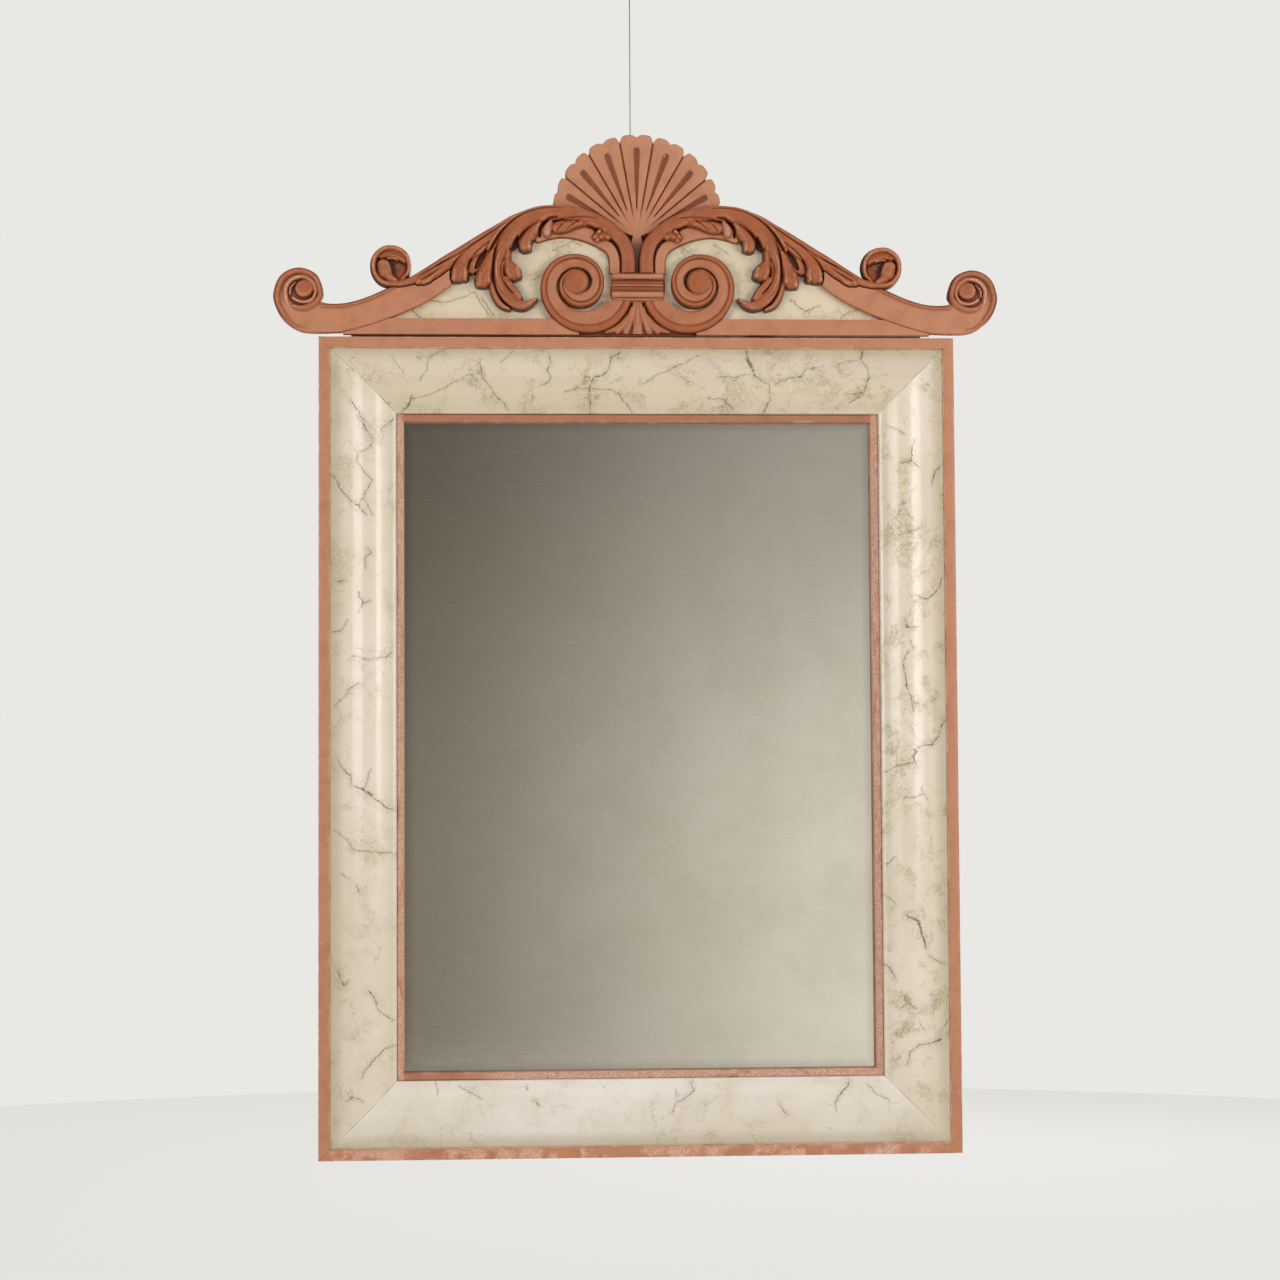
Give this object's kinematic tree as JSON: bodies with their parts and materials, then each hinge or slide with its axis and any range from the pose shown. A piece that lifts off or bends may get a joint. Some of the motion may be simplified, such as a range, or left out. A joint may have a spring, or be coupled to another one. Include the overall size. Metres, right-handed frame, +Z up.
{
  "type": "framed wall mirror",
  "caption": "Upright wall mirror in a faux-marble painted moulding with a carved scroll, acanthus and shell cresting, hung by a wire.",
  "frame": {"origin": "middle of the frame's bottom edge, on the wall plane", "axes": "+Z up the wall, +X to the viewer's right, -Y out of the wall towards the viewer"},
  "size_m": [0.8612, 0.053, 1.4175],
  "materials": {
    "marbled_wood": "painted to look like cream marble, waxed",
    "salmon_paint": "salmon paint over gesso, worn at the edges",
    "terracotta_paint": "dark terracotta paint, glazed into the hollows",
    "bare_wood": "bare softwood, aged",
    "mirror": "silvered glass, a little cloudy with age",
    "brass": "dull",
    "steel": "dull"
  },
  "bodies": {
    "frame": {"frame_rail_top": "marbled_wood", "frame_rail_bottom": "marbled_wood", "frame_stile_left": "marbled_wood", "frame_stile_right": "marbled_wood", "tympanum_board": "marbled_wood", "slip_top": "salmon_paint", "slip_bottom": "salmon_paint", "slip_left": "salmon_paint", "slip_right": "salmon_paint", "arm_left": "salmon_paint", "arm_right": "salmon_paint", "base_rail_left": "salmon_paint", "base_rail_right": "salmon_paint", "collar_band": "salmon_paint", "calyx": "salmon_paint", "shell": "salmon_paint", "acanthus_left": "terracotta_paint", "acanthus_right": "terracotta_paint", "scroll_left": "terracotta_paint", "scroll_right": "terracotta_paint", "corner_keys": "bare_wood", "backboard": "bare_wood", "batten_left": "bare_wood", "batten_right": "bare_wood", "shell_cleat": "bare_wood", "mirror_glass": "mirror", "turn_button_screws": "steel", "batten_screws": "steel", "cleat_screws": "steel", "hanger_strap": "steel", "hanger_screws": "steel"},
    "hanger": {"hanger_ring": "steel", "wire_loop": "steel", "wire_sleeve": "steel", "hanging_wire": "steel", "wire_eye": "steel"},
    "button_1": {"turn_button_1": "brass"},
    "button_2": {"turn_button_2": "brass"},
    "button_3": {"turn_button_3": "brass"},
    "button_4": {"turn_button_4": "brass"},
    "button_5": {"turn_button_5": "brass"},
    "button_6": {"turn_button_6": "brass"}
  },
  "joints": [
    {"name": "ring_swing", "type": "hinge", "parent": "frame", "child": "hanger", "pos_m": [-0.006, -0.0035, 1.146], "axis": [-1, 0, 0], "range_deg": [0, 150]},
    {"name": "button_1_turn", "type": "hinge", "parent": "frame", "child": "button_1", "pos_m": [-0.3057, -0.009, 0.24], "axis": [0, 1, 0], "range_deg": [-90, 90]},
    {"name": "button_2_turn", "type": "hinge", "parent": "frame", "child": "button_2", "pos_m": [-0.3057, -0.009, 0.726], "axis": [0, 1, 0], "range_deg": [-90, 90]},
    {"name": "button_3_turn", "type": "hinge", "parent": "frame", "child": "button_3", "pos_m": [0.3057, -0.009, 0.24], "axis": [0, 1, 0], "range_deg": [-90, 90]},
    {"name": "button_4_turn", "type": "hinge", "parent": "frame", "child": "button_4", "pos_m": [0.3057, -0.009, 0.726], "axis": [0, 1, 0], "range_deg": [-90, 90]},
    {"name": "button_5_turn", "type": "hinge", "parent": "frame", "child": "button_5", "pos_m": [0, -0.009, 0.0718], "axis": [0, 1, 0], "range_deg": [-90, 90]},
    {"name": "button_6_turn", "type": "hinge", "parent": "frame", "child": "button_6", "pos_m": [0, -0.009, 0.8942], "axis": [0, 1, 0], "range_deg": [-90, 90]}
  ]
}
